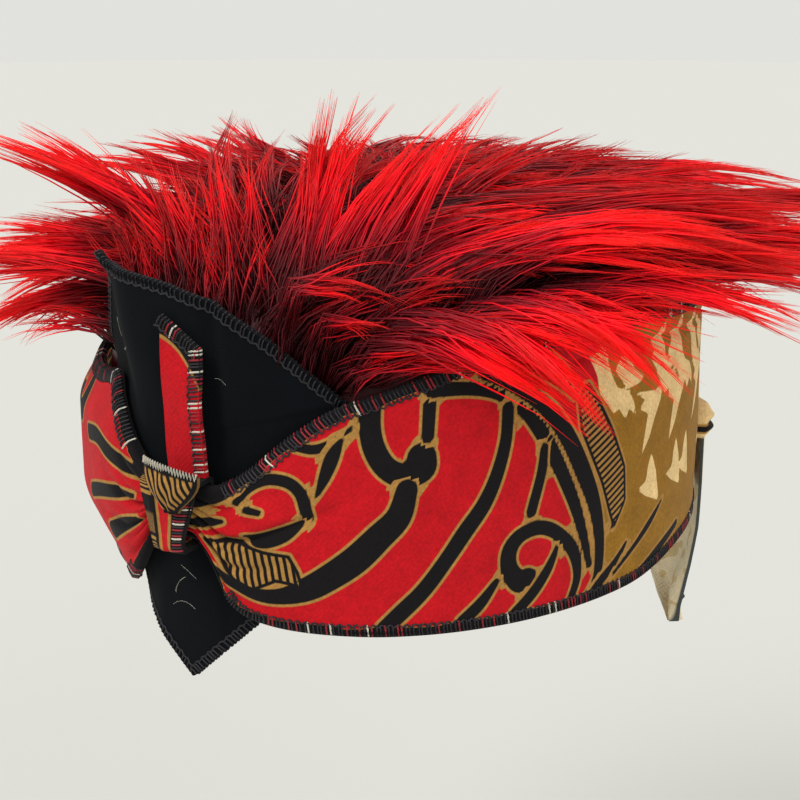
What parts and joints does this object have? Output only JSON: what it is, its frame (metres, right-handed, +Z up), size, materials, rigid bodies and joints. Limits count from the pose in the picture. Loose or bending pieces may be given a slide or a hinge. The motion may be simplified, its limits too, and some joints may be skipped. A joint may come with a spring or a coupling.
{
  "type": "balinese udeng with a fur crown",
  "caption": "Balinese udeng: gathered batik head band with a black felt front panel, red fur crown, front knot and tied rear tail",
  "frame": {"origin": "Centre of the head opening, on the plane of the band's lower rim", "axes": "+Z up along the wearer's head, -Y the front of the head, +X the wearer's left"},
  "size_m": [0.2814, 0.2601, 0.1819],
  "materials": {
    "batik": "printed cotton, matte",
    "felt": "pressed felt, matte",
    "knit": "dark knit backing",
    "fur": "long-pile faux fur, glossy strands",
    "cream_cloth": "printed cotton, matte"
  },
  "bodies": {
    "root": {"band": "batik", "front_panel": "felt", "knot_wrap": "batik", "knot_fold": "batik", "knot_tail": "batik", "crown_cloth": "knit", "fur_locks": "fur", "rear_knot": "cream_cloth", "rear_tail": "cream_cloth"}
  },
  "joints": []
}
